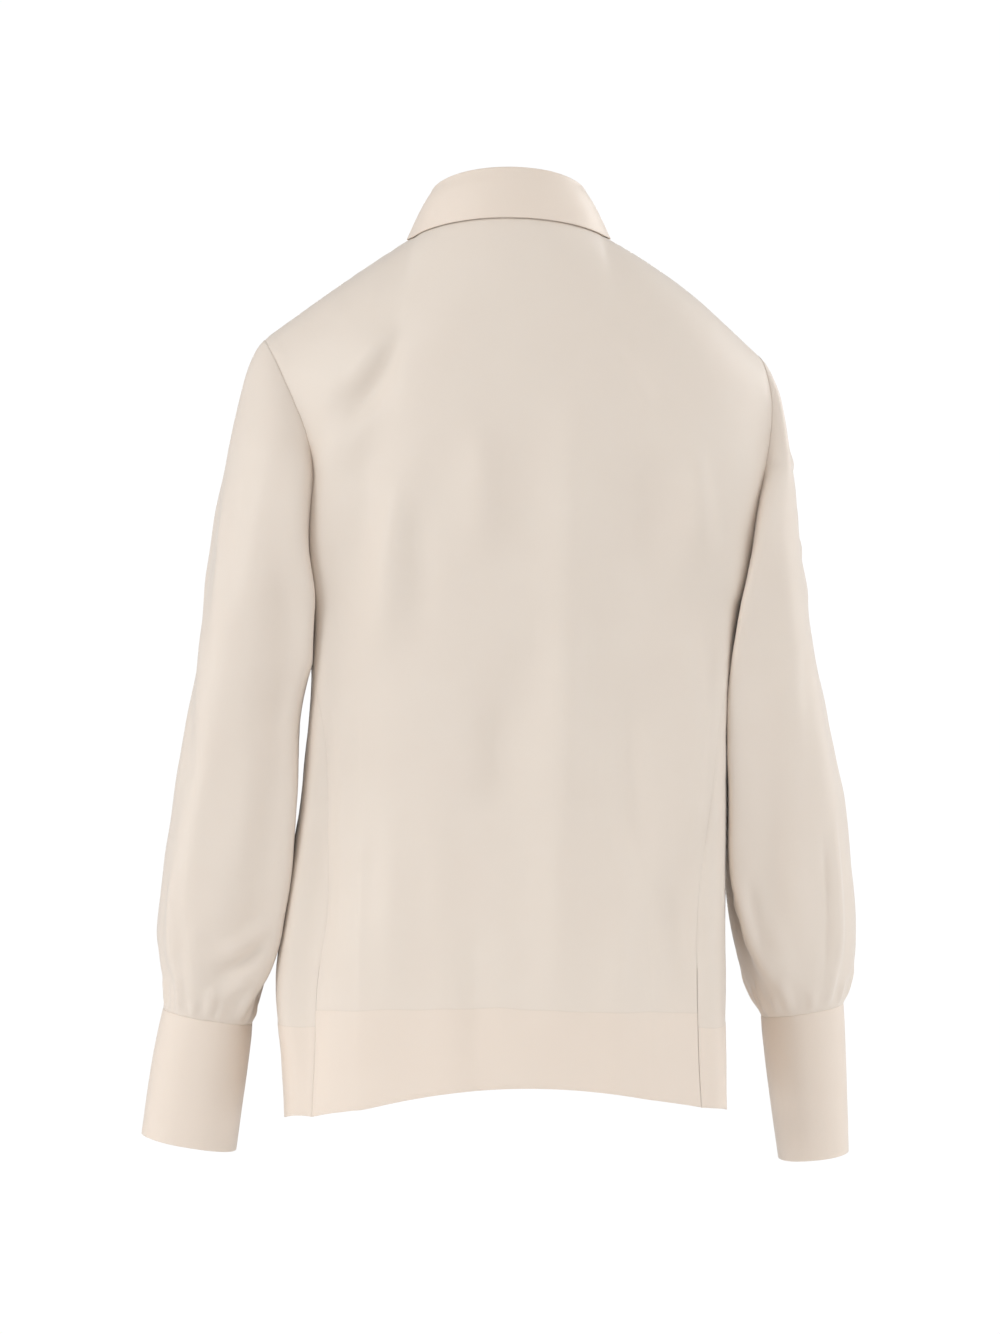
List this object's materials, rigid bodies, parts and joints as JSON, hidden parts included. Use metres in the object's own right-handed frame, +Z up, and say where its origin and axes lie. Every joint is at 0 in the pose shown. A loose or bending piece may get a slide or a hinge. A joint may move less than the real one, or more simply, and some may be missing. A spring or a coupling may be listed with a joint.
{
  "type": "silk blouse",
  "caption": "Long-sleeved silk blouse in its worn shape, with a turned-down shirt collar, buttoned front, deep buttoned cuffs and a hem arched at the back.",
  "frame": {"origin": "middle of the neck opening, 2 mm below the neck ends of the shoulder seams, where the wearer's shoulders hold the blouse", "axes": "+Z up, -Y towards the front, +X towards the wearer's left"},
  "size_m": [0.5542, 0.2534, 0.767],
  "materials": {
    "silk": "cream silk crepe, soft low sheen",
    "pearl_button": "cream pearl, polished"
  },
  "bodies": {
    "root": {"back": "silk", "front_left": "silk", "front_right": "silk", "sleeve_left": "silk", "sleeve_right": "silk", "cuff_left": "silk", "cuff_right": "silk", "collar_stand": "silk", "collar_fall": "silk", "button_collar": "pearl_button", "button_cuff_left_1": "pearl_button", "button_cuff_left_2": "pearl_button", "button_cuff_right_1": "pearl_button", "button_cuff_right_2": "pearl_button", "button_front_1": "pearl_button", "button_front_2": "pearl_button", "button_front_3": "pearl_button", "button_front_4": "pearl_button", "button_front_5": "pearl_button", "button_front_6": "pearl_button"}
  },
  "joints": []
}
